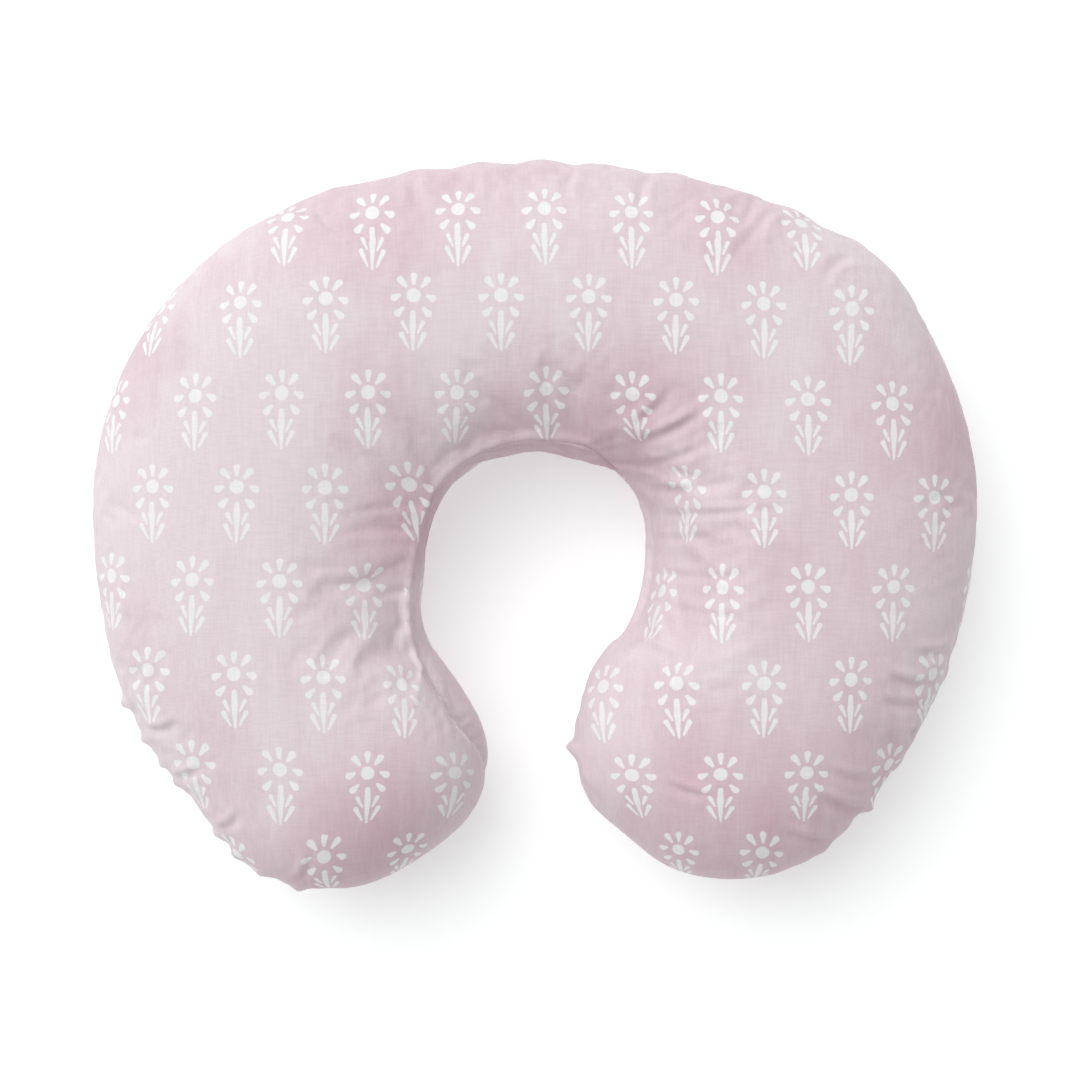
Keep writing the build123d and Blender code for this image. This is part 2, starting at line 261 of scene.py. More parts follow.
def cap_mesh(ring, inset, upper):
    """Points and triangles of the top or the underside within an inset. The ring's points come first."""
    point, normal = outline_at(ring)
    border = point - normal * inset
    inside = hexagonal((-HALF_WIDTH, -HALF_DEPTH), (HALF_WIDTH, HALF_DEPTH), SPACING)
    along, depth = nearest_on_outline(inside)
    outline, out = outline_at(along)
    within = ((inside - outline) * out).sum(1) < 0
    keep = within & (depth > inset + 0.6 * SPACING)
    inside, along, depth = inside[keep], along[keep], depth[keep]
    points = np.concatenate([border, inside])
    along = np.concatenate([ring, along])
    down = length_at_inset(np.concatenate([np.full(len(ring), inset), depth]), upper)
    height = section_at(down)[1]
    faces = triangulate(points, range(len(ring)))
    return np.column_stack([points, height]), along, down, faces


def ring_spacing():
    """Distances along the outline for the columns of the walls, alike on both sides."""
    half = []
    for i, length in enumerate(ARC_LENGTHS):
        closer = 0.85 if ARCS[i][4] < 0 else 1.0
        count = max(2, round(length / (SPACING * closer)))
        half.append(ARC_STARTS[i] + np.arange(count) * length / count)
    half = np.concatenate(half)
    return np.concatenate([half, [HALF_LENGTH], LOOP_LENGTH - half[:0:-1]])


def wall_mesh(ring, top, bottom):
    """The wall strip, unrolled: distance along the outline by fabric length down the section.

    Returns its points and its triangles, which are joined where the strip's two ends meet. The seam,
    the row on either side of it and the edges of the zipper's slot are lines of the mesh.
    """
    columns = np.append(ring, LOOP_LENGTH)
    seam = seam_at(columns)
    middle = HALF_LENGTH
    rows = [np.column_stack([columns, np.full(len(columns), top)])]
    rows.append(np.column_stack([columns, np.full(len(columns), bottom)]))
    lines = []
    ends = middle + np.array([-1, 1]) * ZIPPER_HALF_LENGTH
    for offset in (0.0, -SEAM_ROW, SEAM_ROW):
        rows.append(np.column_stack([columns, seam + offset]))
    for side in (-1, 1):
        inner = columns[np.abs(columns - middle) < ZIPPER_HALF_LENGTH - 0.4 * SPACING]
        xs = np.concatenate([[ends[0]], inner, [ends[1]]])
        rows.append(np.column_stack([xs, seam_at(xs) + side * SLOT_HALF_HEIGHT]))
    starts = np.concatenate([[0], np.cumsum([len(r) for r in rows])])
    for i, row in enumerate(rows[2:], 2):
        lines += [(int(starts[i]) + j, int(starts[i]) + j + 1) for j in range(len(row) - 1)]
    sides = np.arange(top + SPACING, bottom - 0.5 * SPACING, SPACING)
    seam_start = seam_at([0.0])[0]
    sides = sides[np.abs(sides - seam_start) > 0.9 * SPACING]
    left = np.column_stack([np.zeros(len(sides)), sides])
    right = np.column_stack([np.full(len(sides), LOOP_LENGTH), sides])
    inside = hexagonal((SPACING / 2, top + 0.6 * SPACING), (LOOP_LENGTH - 0.4 * SPACING, bottom), SPACING)
    away = np.abs(inside[:, 1] - seam_at(inside[:, 0]))
    keep = (inside[:, 1] < bottom - 0.55 * SPACING) & (away > SEAM_ROW + 0.5 * SPACING)
    near_slot = np.abs(inside[:, 0] - middle) < ZIPPER_HALF_LENGTH + 0.5 * SPACING
    keep &= ~(near_slot & (np.abs(away - SLOT_HALF_HEIGHT) < 0.5 * SPACING))
    points = np.concatenate(rows + [left, right, inside[keep]])
    left_start = int(starts[-1])
    right_start = left_start + len(left)
    n = len(columns)

    def column(end, first_side):
        """The point numbers down one end of the strip: the three seam rows' and the side points'."""
        numbers = [row * n + end for row in (2, 3, 4)] + [first_side + i for i in range(len(sides))]
        return sorted(numbers, key=lambda i: points[i, 1])

    border = list(range(n)) + column(n - 1, right_start)
    border += list(range(2 * n - 1, n - 1, -1)) + column(0, left_start)[::-1]
    faces = triangulate(points, border, lines)
    same = np.arange(len(points))
    for i in range(5):
        same[i * n + n - 1] = i * n
    same[right_start:right_start + len(right)] = np.arange(left_start, left_start + len(left))
    return points, [[int(same[i]) for i in face] for face in faces]


def cloth_surface():
    """The whole slipcover before simulation: points, distance along, length down, triangles and their kind.

    kind is 0 on the top panel, 1 on the bottom panel and 2 in the zipper's slot.
    """
    ring = ring_spacing()
    n = len(ring)
    top = float(length_at_inset(TOP_CAP_INSET))
    bottom = float(length_at_inset(LOW_CAP_INSET, upper=False))
    flat, wall_faces = wall_mesh(ring, top, bottom)
    points = [wall_points(flat[:, 0], flat[:, 1])]
    along, down = [flat[:, 0]], [flat[:, 1]]
    corners = flat[np.array(wall_faces)]
    middles = corners.mean(1)
    starts = corners[:, :, 0]
    wrapped = np.ptp(starts, axis=1) > LOOP_LENGTH / 2  # these cross the loop's start
    unrolled = np.where(starts < LOOP_LENGTH / 2, starts + LOOP_LENGTH, starts).mean(1)
    middles[wrapped, 0] = unrolled[wrapped]
    below = middles[:, 1] - seam_at(middles[:, 0])
    in_slot = (np.abs(middles[:, 0] - HALF_LENGTH) < ZIPPER_HALF_LENGTH) & (np.abs(below) < SLOT_HALF_HEIGHT)
    kinds = [np.where(in_slot, 2, np.where(below > 0, 1, 0))]
    faces = [[a, c, b] for a, b, c in wall_faces]  # its normals point out, as the caps' do
    ring_ids = {"top": np.arange(n), "bottom": n + 1 + np.arange(n)}
    total = len(flat)
    for name, inset, upper in (("top", TOP_CAP_INSET, True), ("bottom", LOW_CAP_INSET, False)):
        cap, cap_along, cap_down, cap_faces = cap_mesh(ring, inset, upper)
        ids = np.concatenate([ring_ids[name], total + np.arange(len(cap) - n)])
        points.append(cap[n:])
        along.append(cap_along[n:])
        down.append(cap_down[n:])
        order = (0, 1, 2) if upper else (0, 2, 1)
        faces += [[int(ids[face[i]]) for i in order] for face in cap_faces]
        kinds.append(np.full(len(cap_faces), 0 if upper else 1))
        total += len(cap) - n
    points = np.concatenate(points)
    along = np.concatenate(along)
    down = np.concatenate(down)
    used, faces = renumbered(np.array(faces), len(points))
    return points[used], along[used], down[used], faces, np.concatenate(kinds)


def renumbered(faces, count):
    """Which of count points the faces use, and the faces with those points numbered from 0."""
    used = np.unique(faces)
    number = np.full(count, -1)
    number[used] = np.arange(len(used))
    return used, number[faces]


def mesh_object(name, points, faces):
    mesh = bpy.data.meshes.new(name)
    mesh.from_pydata([tuple(p) for p in points], [], [tuple(int(i) for i in f) for f in faces])
    mesh.update()
    obj = bpy.data.objects.new(name, mesh)
    bpy.context.scene.collection.objects.link(obj)
    return obj


# ================= Cloth simulation =================

# How much the cloth grows, and how much the seam gathers it, as shares of its length
GROWTH_INNER = 0.030  # fabric to spare round the opening
GROWTH_OUTER = 0.006
SEAM_GATHER = 0.08
GATHER_WIDTH = 3 * MM  # of the cloth beside the seam that shortens with it
GOAL = 0.1  # how firmly the cloth is drawn to where it started
FLOOR_GOAL = 0.3  # and how much more firmly where it lies on the floor
PRESSURE = 15
FRAMES = 20
MOVE_CAP = 18 * MM


def zipper_hold(along, rise):
    """1 beside the zipper, where the cover keeps the CAD shape exactly, falling to 0 away from it."""
    back = np.abs(along - HALF_LENGTH)
    return smoothstep(0.150, 0.126, back) * smoothstep(0.030, 0.014, np.abs(rise))


def weight_group(obj, name, weights):
    group = obj.vertex_groups.new(name=name)
    for i, weight in enumerate(weights):
        group.add([i], float(weight), "REPLACE")
    return name


def inflate(points, along, down, faces):
    """Blows the sewn cover up with Blender's cloth and returns where its points come to rest."""
    rise = seam_at(along) - down
    from_seam = np.abs(rise)
    hold = zipper_hold(along, rise)
    goal = np.clip(GOAL + hold + FLOOR_GOAL * smoothstep(0.004, 0.0, points[:, 2]), 0, 1)
    opening = smoothstep(0.19, 0.11, np.hypot(points[:, 0] - OPENING[0], points[:, 1] - OPENING[1]))
    inset = section_at(down)[0]
    growth = opening * GROWTH_INNER * smoothstep(0.09, 0.02, inset)
    growth += (1 - opening) * GROWTH_OUTER * smoothstep(0.05, 0.01, inset)
    from_middle = np.minimum(along, LOOP_LENGTH - along)
    gather = SEAM_GATHER * (0.4 + 0.6 * smoothstep(0.05, 0.12, from_middle))
    shrink = gather * bell(from_seam / GATHER_WIDTH)
    shrink -= growth * smoothstep(0.002, 0.010, from_seam)
    shrink *= 1 - hold
    obj = mesh_object("cloth", points, faces)
    cloth = obj.modifiers.new("Cloth", "CLOTH")
    settings = cloth.settings
    settings.quality = 5
    settings.mass = 0.15
    settings.tension_stiffness = settings.compression_stiffness = 15
    settings.shear_stiffness = 5
    settings.bending_stiffness = 0.1
    settings.use_pressure = True
    settings.uniform_pressure_force = PRESSURE
    settings.vertex_group_mass = weight_group(obj, "goal", goal)
    settings.pin_stiffness = 1
    spread = GROWTH_INNER + SEAM_GATHER
    settings.vertex_group_shrink = weight_group(obj, "shrink", (shrink + GROWTH_INNER) / spread)
    settings.shrink_min = -GROWTH_INNER
    settings.shrink_max = SEAM_GATHER
    settings.effector_weights.gravity = 0
    cloth.collision_settings.use_collision = False
    cloth.point_cache.frame_start = 1
    cloth.point_cache.frame_end = FRAMES
    for frame_number in range(1, FRAMES + 1):
        bpy.context.scene.frame_set(frame_number)
    evaluated = obj.evaluated_get(bpy.context.evaluated_depsgraph_get())
    moved = np.empty(len(points) * 3)
    evaluated.to_mesh().vertices.foreach_get("co", moved)
    bpy.data.objects.remove(obj)
    bpy.context.scene.frame_set(1)
    step = moved.reshape(-1, 3) - points
    length = np.linalg.norm(step, axis=1, keepdims=True)
    return points + step * np.minimum(1, MOVE_CAP / np.maximum(length, 1e-9))


# ================= Shape from the lists ==========

# Pulls in plan that make the two sides differ: centre, move and radius, in millimetres
PULLS = [
    ((-29, -93), (-9.2, -4.0), 35), ((-60, -205), (-4.5, 6.6), 45),
    ((-165, -195), (-3.6, -4.8), 40), ((-235, -105), (-5.4, -2.4), 60),
    ((95, -212), (0.0, 8.0), 60), ((48, -190), (5.0, 4.5), 32),
    ((50, 20), (7.5, 6.6), 28), ((0, 43), (0.0, 1.2), 30),
    ((-66, -12), (3.6, 0.0), 34), ((62, -2), (3.6, 0.0), 30),
    ((205, 148), (4.2, 4.2), 35), ((-50, 20), (-2.0, 2.0), 30),
    ((-50, -62), (-6.5, -6.2), 30),
]

# Gathers that stand out of the edge or notch it: place, height and half width, in millimetres
GATHERS = [
    ((-241, -104), 5.2, 4.2), ((-236, -112), -2.4, 3), ((-226, -124), 4.4, 4),
    ((-218, -140), 3.6, 3.6), ((-212, -153), 3.6, 3.8), ((-205, -163), -2.4, 3.6),
    ((-187, -181), 4.0, 4), ((-180, -186), -2.0, 3), ((-172, -190), 4.0, 4),
    ((-158, -201), 2.6, 4), ((-149, -206), -1.8, 3.4), ((-137, -213), 4.2, 4.6),
    ((-118, -216), -1.0, 6), ((198, -168), 5.6, 4.2), ((190, -176), -2.2, 4),
    ((168, -192), 3.2, 5), ((148, -203), -1.2, 6), ((222, -130), 2.2, 8),
    ((212, -148), -1.2, 5), ((243, -88), 1.6, 7), ((19, -131), 5.4, 4),
    ((27, -142), -1.8, 6), ((26, -108), -2.2, 8), ((-70, 212), 2.2, 11),
    ((-50, 213), -1.0, 6), ((-34, 214), 2.0, 9), ((-12, 215), -1.0, 6),
    ((4, 215), 2.2, 11), ((22, 215), -1.0, 6), ((38, 214), 1.8, 10),
    ((84, 210), 2.4, 11), ((66, 211), -1.2, 6), ((152, 186), 2.6, 9),
    ((136, 193), -1.4, 6), ((187, 164), 2.6, 9), ((-120, 198), 1.8, 12),
]

# Folds in the top: start, end, depth and half width, in millimetres. Its ridge is on the left of its valley.
FOLDS = [
    ((60, 48), (98, 68), 2.4, 3.0), ((56, 58), (80, 82), 1.3, 3.0),
    ((64, 36), (98, 48), 1.5, 2.6), ((66, 22), (112, 25), 1.3, 2.6),
    ((68, 8), (140, 11), 1.2, 2.4), ((68, -6), (112, -3), 0.9, 2.4),
    ((66, -26), (120, -27), 1.2, 2.4), ((72, -44), (116, -50), 1.0, 2.6),
    ((60, -66), (92, -78), 0.9, 2.8), ((-66, 12), (-110, 6), 1.0, 2.4),
    ((-70, -3), (-114, -5), 0.9, 2.4), ((-68, -38), (-96, -42), 1.1, 2.4),
    ((-66, -56), (-86, -62), 0.7, 2.4), ((222, -73), (246, -69), 2.4, 3.2),
    ((204, -86), (230, -91), 2.6, 3.2), ((198, -100), (232, -102), 1.6, 3.0),
    ((214, -122), (234, -109), 2.4, 3.2), ((164, -156), (200, -165), 3.0, 3.4),
    ((144, -176), (176, -182), 2.2, 3.0), ((170, -140), (196, -146), 1.4, 3.0),
    ((19, -131), (34, -158), 2.8, 3.2), ((76, -147), (102, -154), 1.3, 2.6),
    ((-212, -146), (-192, -138), 1.8, 2.8), ((-224, -118), (-206, -112), 1.8, 2.8),
    ((-184, -176), (-170, -164), 1.6, 2.8), ((-138, -206), (-130, -188), 1.6, 2.8),
    ((-70, 204), (-64, 184), 1.3, 3.2), ((-34, 206), (-32, 188), 1.2, 3.0),
    ((22, 207), (20, 188), 1.3, 3.0), ((66, 204), (62, 182), 1.4, 3.2),
    ((138, 184), (128, 166), 1.5, 3.2), ((182, 156), (166, 142), 1.4, 3.2),
]

SEAM_DEPTH = 1.2 * MM
SEAM_HALF_WIDTH = 1.5 * MM
PUCKER_DEPTH = 0.45 * MM
PUCKER_PITCH = 9 * MM
GATHER_DROP = 4 * MM  # the gathers are centred this far down the fabric from the widest level
GATHER_RISE = 26 * MM  # and die out over this length of it


def pull(points, hold):
    """Moves points in plan by the PULLS."""
    moved = points.copy()
    for centre, move, radius in PULLS:
        apart = np.hypot(points[:, 0] - centre[0] * MM, points[:, 1] - centre[1] * MM)
        share = bell(apart / (radius * MM)) * (1 - hold)
        moved[:, :2] += share[:, None] * np.array(move) * MM
    return moved


def vertex_normals(points, faces):
    a, b, c = (points[faces[:, i]] for i in range(3))
    across = np.cross(b - a, c - a)
    total = np.zeros_like(points, float)
    for k in range(3):
        total[:, k] = sum(np.bincount(faces[:, i], across[:, k], len(points)) for i in range(3))
    return total / np.maximum(np.linalg.norm(total, axis=1, keepdims=True), 1e-12)


def fold_height(points, normals):
    """How far the FOLDS raise or lower points of the top."""
    height = np.zeros(len(points))
    upward = smoothstep(0.05, 0.45, normals[:, 2])
    for start, end, depth, width in FOLDS:
        start, end = np.array(start) * MM, np.array(end) * MM
        length = np.linalg.norm(end - start)
        run = (end - start) / length
        away = points[:, :2] - start
        share = away @ run / length
        side = away @ np.array([-run[1], run[0]]) / (width * MM)
        side += 0.8 * np.sin(share * 3.0)
        taper = smoothstep(-0.15, 0.30, share) * smoothstep(1.15, 0.45, share)
        ridges = 0.8 * bell(side - 1.5) + 0.25 * bell(side + 1.9)
        height += depth * MM * taper * (ridges - bell(side))
    return height * upward


def gather_height(along, down):
    """How far the GATHERS stand out of the edge."""
    places = np.array([place for place, _, _ in GATHERS], float) * MM
    at = nearest_on_outline(places)[0]
    total = np.zeros(len(along))
    for (_, height, width), middle in zip(GATHERS, at):
        apart = np.abs(along - middle)
        apart = np.minimum(apart, LOOP_LENGTH - apart) / (width * MM)
        level = (down - SECTION[EDGE] - GATHER_DROP) / GATHER_RISE
        total += height * MM * bell(apart) * bell(level)
    return total


def seam_relief(along, rise):
    """The valley of the slipcover's seam, with the small puckers that its stitches make beside it."""
    near = bell(rise / SEAM_HALF_WIDTH)
    shoulder = bell((np.abs(rise) - 3.5 * MM) / (1.5 * MM))
    phase = np.interp(along, *pucker_phase())
    beside = bell(rise / (7 * MM)) * (1 - near)
    slack = smoothstep(0.19, 0.27, np.minimum(along, LOOP_LENGTH - along))
    valley = -SEAM_DEPTH * (0.6 + 0.4 * slack) * near
    ridge = (0.5 - 0.25 * slack) * MM * shoulder
    return valley + ridge + PUCKER_DEPTH * (0.25 + 0.75 * slack) * beside * np.sin(phase)


def pucker_phase():
    """Distances along the seam and the puckers' phase there, with an uneven pitch."""
    at = np.arange(0, LOOP_LENGTH + 2 * MM, 2 * MM)
    pace = [1 + 0.45 * noise.noise(Vector((x * 30, 0, 4))) for x in at]
    phase = np.concatenate([[0], np.cumsum(pace)[:-1]]) * 2 * MM * 2 * math.pi / PUCKER_PITCH
    turns = round(phase[-1] / (2 * math.pi))
    return at, phase * turns * 2 * math.pi / phase[-1]


# ================= Finer mesh =================


def edge_table(faces):
    """A closed mesh's edges, the three edge numbers of each face, and each edge's two opposite corners."""
    ends = np.sort(faces[:, [0, 1, 1, 2, 2, 0]].reshape(-1, 2), axis=1)
    edges, number = np.unique(ends, axis=0, return_inverse=True)
    number = number.reshape(-1)
    opposite = faces[:, [2, 0, 1]].reshape(-1)
    return edges, number.reshape(-1, 3), opposite[np.argsort(number, kind="stable")].reshape(-1, 2)


def neighbour_sum(points, edges):
    """The sum of each point's neighbours."""
    around = np.zeros_like(points)
    np.add.at(around, edges[:, 0], points[edges[:, 1]])
    np.add.at(around, edges[:, 1], points[edges[:, 0]])
    return around


def finer_points(points, edges, opposite):
    """Loop subdivision's points: the smoothed old ones, then one for each edge."""
    first, second = edges[:, 0], edges[:, 1]
    middle = 0.375 * (points[first] + points[second])
    middle += 0.125 * (points[opposite[:, 0]] + points[opposite[:, 1]])
    valence = np.bincount(edges.ravel(), minlength=len(points))
    share = (0.625 - (0.375 + 0.25 * np.cos(2 * math.pi / valence)) ** 2) / valence
    old = points * (1 - valence * share)[:, None] + neighbour_sum(points, edges) * share[:, None]
    return np.concatenate([old, middle])


def finer_values(values, edges, wrap=None):
    """Values at the finer mesh's points. A value that wraps round is compared within half a turn."""
    first, second = values[edges[:, 0]], values[edges[:, 1]]
    if wrap:
        second = second + wrap * np.round((first - second) / wrap)
    middle = (first + second) / 2
    return np.concatenate([values, middle % wrap if wrap else middle])


def finer_faces(faces, edge_number, count):
    a, b, c = faces.T
    ab, bc, ca = (edge_number + count).T
    quarters = [(a, ab, ca), (ab, b, bc), (ca, bc, c), (ab, bc, ca)]
    return np.concatenate([np.stack(corners, 1) for corners in quarters])


# ================= Print =================

PITCH_X, PITCH_Y = 49.6 * MM, 55.2 * MM
PRINT_X, PRINT_Y = 5.2 * MM, 22.0 * MM
PRINT_TILT = -0.012  # the rows drop a little towards +X
END_ROW_SHIFT = 3.6 * MM  # the first and last rows are drawn in where the cloth turns down
LEAST_APART = 42 * MM  # of two motifs' places: the outer of a nearer pair is left out
PRINT_BOW = 0.06  # the rows come together by this share towards the two sides
PRINT_BEYOND = 75 * MM  # the lattice is used this far outside the outline, measured as flat fabric
INNER_PRINT_REACH = 110 * MM  # nearer the opening's centre, the print goes over the edge with the cloth
EDGE_WIDENING = 0.22  # motifs on the rounded edge are printed a little longer down the slope
UNIT = 10 * MM  # of the print's UV layer
FAR = 9.0  # a place in the UV layer with nothing printed on it
MOTIF_REACH = 46 * MM  # of the cloth round a motif's place that can carry it
MOTIF_HALF_SIZE = (1.9, 2.7)  # of the ellipse that a face belongs to one motif in, in UNITs
MOTIF_MIDDLE = -0.85  # the ellipse's centre is this far up from the flower's


def outline_place(x, y):
    """Distance along the outline, and signed distance outside it, of one place in flat fabric."""
    along, apart = nearest_on_outline(np.array([[x, y]]))
    outline, out = outline_at(along)
    outside = ((np.array([x, y]) - outline[0]) * out[0]).sum() > 0
    return along[0], apart[0] if outside else -apart[0]


def flower_frames(upper):
    """The print's motifs on one panel: the place on the unworked pillow, its normal, and right and up."""
    reach = CROWN_REACH if upper else LEVEL
    lattice = []
    for row in range(-6, 7):
        for column in range(-7, 8):
            x = PRINT_X + (column + (row + 1) % 2 / 2) * PITCH_X
            y = PRINT_Y + row * PITCH_Y
            y *= 1 - PRINT_BOW * (x / 0.21) ** 2
            y += PRINT_TILT * x
            y -= math.copysign(END_ROW_SHIFT, y) * float(smoothstep(0.150, 0.185, abs(y)))
            along, outside = outline_place(x, y)
            lattice.append((outside, x, y, along))
    frames = []
    for outside, x, y, along in sorted(lattice):
        down = reach + outside
        from_opening = math.hypot(x - OPENING[0], y - OPENING[1])
        if upper and from_opening > INNER_PRINT_REACH:
            down = SECTION[EDGE] + outside if outside > 0 else float(length_at_inset(-outside))
        under_crown = upper and y > 0 and from_opening < OPENING_RADIUS and outside > 6 * MM
        if outside > PRINT_BEYOND or under_crown:
            continue
        out = outline_at([along])[1][0]
        if outside <= -reach:
            place = np.array([x, y, HEIGHT if upper else 0.0])
            slope = np.array([*out, 0.0])
        else:
            down = down if upper else SECTION[-1] - down
            pair = wall_points(np.array([along, along]), np.array([down - 0.5 * MM, down + 0.5 * MM]))
            place = pair.mean(0)
            slope = (pair[1] - pair[0]) * (1 if upper else -1)
        if any(np.linalg.norm(place - other[0]) < LEAST_APART for other in frames):
            continue
        slope /= np.linalg.norm(slope)
        tangent = np.array([-out[1], out[0], 0.0])
        right = tangent[0] * tangent + out[0] * slope
        up = tangent[1] * tangent + out[1] * slope
        normal = np.cross(right, up) * (1 if upper else -1)
        tilted = abs(normal[2])
        widen = EDGE_WIDENING * smoothstep(1.0, 0.75, tilted) * smoothstep(0.2, 0.55, tilted)
        right = right - widen * (right @ slope) * slope
        up = up - widen * (up @ slope) * slope
        frames.append((place, normal / np.linalg.norm(normal), right, up))
    return frames


def print_coordinates(rest, normals, faces, frames):
    """Each face corner's place about its own motif, in UNITs, measured over the unworked fabric."""
    uv = np.full((len(faces), 3, 2), FAR)
    best = np.full(len(faces), 1.5)
    for place, normal, right, up in frames:
        away = rest - place
        chord = np.linalg.norm(away, axis=1)
        facing = normals @ normal
        near = (chord < MOTIF_REACH) & (facing > 0.2)
        faces_near = np.flatnonzero(near[faces].all(1))
        if not len(faces_near):
            continue
        turn = np.arccos(np.clip(facing[near], -1, 1)) / 2
        stretch = chord[near] * np.where(turn > 1e-3, turn / np.maximum(np.sin(turn), 1e-9), 1)
        level = away[near] - (away[near] @ normal)[:, None] * normal
        level *= (stretch / np.maximum(np.linalg.norm(level, axis=1), 1e-9))[:, None]
        local = np.zeros((len(rest), 2))
        local[near] = np.stack([level @ right, level @ up], 1) / UNIT
        corners = local[faces[faces_near]]
        middle = corners.mean(1)
        wide, tall = MOTIF_HALF_SIZE
        score = (middle[:, 0] / wide) ** 2 + ((middle[:, 1] - MOTIF_MIDDLE) / tall) ** 2
        better = score < best[faces_near]
        best[faces_near[better]] = score[better]
        uv[faces_near[better]] = corners[better]
    return uv


# ================= Pieces =================


def new_object(name, points, faces, uv=None):
    """A smooth-shaded mesh object. uv holds each face's corners, for a layer named print."""
    obj = mesh_object(name, points, faces)
    obj.data.polygons.foreach_set("use_smooth", [True] * len(faces))
    if uv is not None:
        layer = obj.data.uv_layers.new(name="print")
        layer.data.foreach_set("uv", np.concatenate([np.asarray(corners).ravel() for corners in uv]))
    return obj


def panel(name, points, normals, faces, uv, depth):
    """One panel of the cover, its raw edges turned in. depth is how far in they go, for each point."""
    used, small = renumbered(faces, len(points))
    edges = small[:, [0, 1, 1, 2, 2, 0]].reshape(-1, 2)
    third = small[:, [2, 0, 1]].reshape(-1)
    key = np.sort(edges, axis=1)
    _, inverse, count = np.unique(key, axis=0, return_inverse=True, return_counts=True)
    border = np.flatnonzero(count[inverse.reshape(-1)] == 1)
    places, outward = points[used], normals[used]
    inner_side = np.zeros_like(places)
    for end in range(2):
        np.add.at(inner_side, edges[border, end], places[third[border]] - places[edges[border, end]])
    rim = np.unique(edges[border])
    side = inner_side[rim] - (inner_side[rim] * outward[rim]).sum(1, keepdims=True) * outward[rim]
    side /= np.linalg.norm(side, axis=1, keepdims=True)
    lip = places[rim] - outward[rim] * depth[used][rim][:, None] + side * 0.35 * MM
    lip_number = np.full(len(places), -1)
    lip_number[rim] = len(places) + np.arange(len(rim))
    first, second = edges[border].T
    turned = np.stack([second, first, lip_number[first], lip_number[second]], 1)
    all_faces = [*small.tolist(), *turned.tolist()]
    corners = [*uv, *np.full((len(turned), 4, 2), FAR)]
    return new_object(name, np.concatenate([places, lip]), all_faces, corners)


def smoothed(points, faces, rounds):
    """Points drawn towards the middle of their neighbours."""
    edges = edge_table(faces)[0]
    count = np.bincount(edges.ravel(), minlength=len(points))[:, None]
    for _ in range(rounds):
        points = 0.4 * points + 0.6 * neighbour_sum(points, edges) / count
    return points


def inner_layer(outer, faces, depth, rounds, least):
    """A calmer layer inside another, depth in from it and never nearer than least."""
    calm = smoothed(outer, faces, rounds)
    normals = vertex_normals(calm, faces)
    layer = calm - normals * depth
    gap = ((outer - layer) * normals).sum(1)
    return layer - normals * np.maximum(0, least - gap)[:, None]


def draper(rest, final):
    """A function that carries places on the unworked pillow to where a layer of it lies."""
    tree = kdtree.KDTree(len(rest))
    for i, point in enumerate(rest):
        tree.insert(point, i)
    tree.balance()
    moved = final - rest

    def carry(places):
        result = np.array(places, float)
        for k, place in enumerate(places):
            found = tree.find_n(place, 6)
            weights = np.array([1 / (distance + 1e-4) ** 2 for _, _, distance in found])
            numbers = [i for _, i, _ in found]
            result[k] += (moved[numbers] * weights[:, None]).sum(0) / weights.sum()
        return result

    return carry


def strip(name, columns, rows, thickness, closed=False):
    """A thin band from a grid of points, rows of columns, with its thickness grown inward."""
    grid = np.arange(len(columns) * rows).reshape(len(columns), rows)
    following = np.roll(grid, -1, axis=0) if closed else grid[1:]
    before = grid if closed else grid[:-1]
    faces = np.stack([before[:, :-1], following[:, :-1], following[:, 1:], before[:, 1:]], -1).reshape(-1, 4)
    obj = new_object(name, np.concatenate(columns), faces.tolist())
    solid = obj.modifiers.new("Thickness", "SOLIDIFY")
    solid.thickness = thickness
    solid.offset = -1
    return obj


def cut_at(name, points, faces, low=None, high=None):
    """The part of a closed mesh between two heights, cut clean."""
    obj = new_object(name, points, faces.tolist())
    mesh = bmesh.new()
    mesh.from_mesh(obj.data)
    for height, direction in ((low, -1), (high, 1)):
        if height is not None:
            everything = mesh.verts[:] + mesh.edges[:] + mesh.faces[:]
            plane = {"plane_co": (0, 0, height), "plane_no": (0, 0, direction)}
            bmesh.ops.bisect_plane(mesh, geom=everything, clear_outer=True, **plane)
    mesh.to_mesh(obj.data)
    mesh.free()
    return obj


def wall_normals(along, down):
    """Outward normals of the unworked pillow."""
    inset, height = section_at(np.asarray(down) + 0.2 * MM)
    inset_before, height_before = section_at(np.asarray(down) - 0.2 * MM)
    outward, upward = height_before - height, inset_before - inset
    length = np.hypot(outward, upward)
    normal = outline_at(along)[1]
    return np.column_stack([normal * (outward / length)[:, None], upward / length])


def layer_points(along, down, depth):
    """Places depth inside the unworked pillow's skin. along or down may be one number."""
    along, down = (np.array(x, float) for x in np.broadcast_arrays(along, down))
    return wall_points(along, down) - wall_normals(along, down) * depth


def patch(name, carry, along_range, down_range, depth, thickness, step=1.5 * MM):
    """A label: a rectangle of cloth laid along a layer, its edges a little uneven."""
    columns = []
    for x in np.linspace(*along_range, round(np.ptp(along_range) / step) + 1):
        rows = np.linspace(*down_range, round(np.ptp(down_range) / step) + 1)
        lift = 0.12 * MM * np.sin(rows * 180 + x * 90)
        lifted = lift[:, None] * wall_normals(np.full(len(rows), x), rows)
        columns.append(carry(layer_points(x, rows, depth) + lifted))
    return strip(name, columns, len(columns[0]), thickness)


